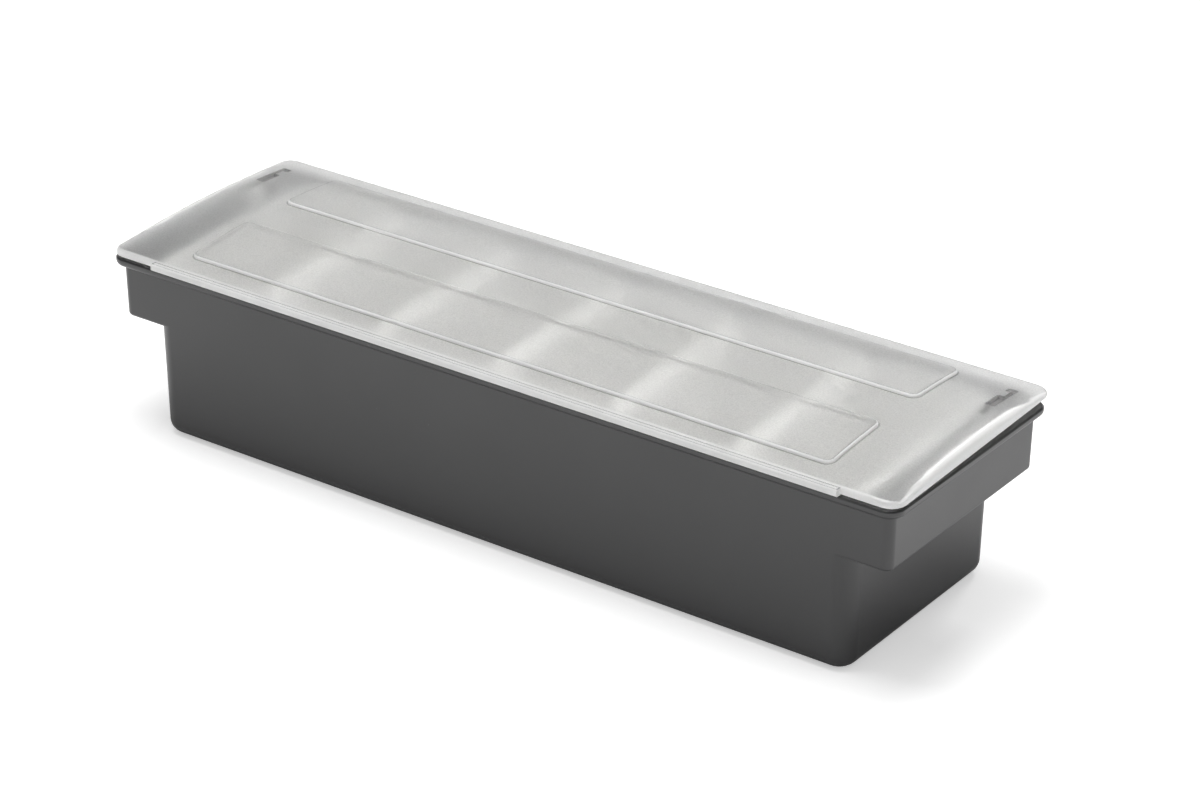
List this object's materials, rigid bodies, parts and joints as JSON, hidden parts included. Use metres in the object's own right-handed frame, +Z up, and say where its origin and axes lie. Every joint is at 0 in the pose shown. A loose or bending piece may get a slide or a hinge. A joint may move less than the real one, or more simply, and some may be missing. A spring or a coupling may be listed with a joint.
{
  "type": "ingredient box",
  "caption": "Long black bar box with stepped grip ends, white lift-out inserts and a frosted arched lid that hinges up at the rear to keep cut ingredients covered.",
  "frame": {"origin": "middle of the flat base, on the surface that the box stands on", "axes": "+X along the box to its right end, +Y to the hinge at the rear, +Z up"},
  "size_m": [0.5, 0.152, 0.113],
  "materials": {
    "black_plastic": "satin, finely grained black moulding",
    "frosted_plastic": "frosted translucent moulding",
    "white_plastic": "smooth white moulding",
    "pin_steel": "plain stainless steel"
  },
  "bodies": {
    "tub": {"tub": "black_plastic", "hinge_pin_left": "pin_steel", "hinge_pin_right": "pin_steel"},
    "lid": {"lid": "frosted_plastic"},
    "insert_1": {"insert_1": "white_plastic"},
    "insert_2": {"insert_2": "white_plastic"},
    "insert_3": {"insert_3": "white_plastic"},
    "insert_4": {"insert_4": "white_plastic"},
    "insert_5": {"insert_5": "white_plastic"},
    "insert_6": {"insert_6": "white_plastic"}
  },
  "joints": [
    {"name": "lid_hinge", "type": "hinge", "parent": "tub", "child": "lid", "pos_m": [0, 0.061, 0.088], "axis": [-1, 0, 0], "range_deg": [0, 95]},
    {"name": "insert_1_lift", "type": "slide", "parent": "tub", "child": "insert_1", "axis": [0, 0, 1], "range_m": [0, 0.005]},
    {"name": "insert_2_lift", "type": "slide", "parent": "tub", "child": "insert_2", "axis": [0, 0, 1], "range_m": [0, 0.005]},
    {"name": "insert_3_lift", "type": "slide", "parent": "tub", "child": "insert_3", "axis": [0, 0, 1], "range_m": [0, 0.005]},
    {"name": "insert_4_lift", "type": "slide", "parent": "tub", "child": "insert_4", "axis": [0, 0, 1], "range_m": [0, 0.005]},
    {"name": "insert_5_lift", "type": "slide", "parent": "tub", "child": "insert_5", "axis": [0, 0, 1], "range_m": [0, 0.005]},
    {"name": "insert_6_lift", "type": "slide", "parent": "tub", "child": "insert_6", "axis": [0, 0, 1], "range_m": [0, 0.005]}
  ]
}
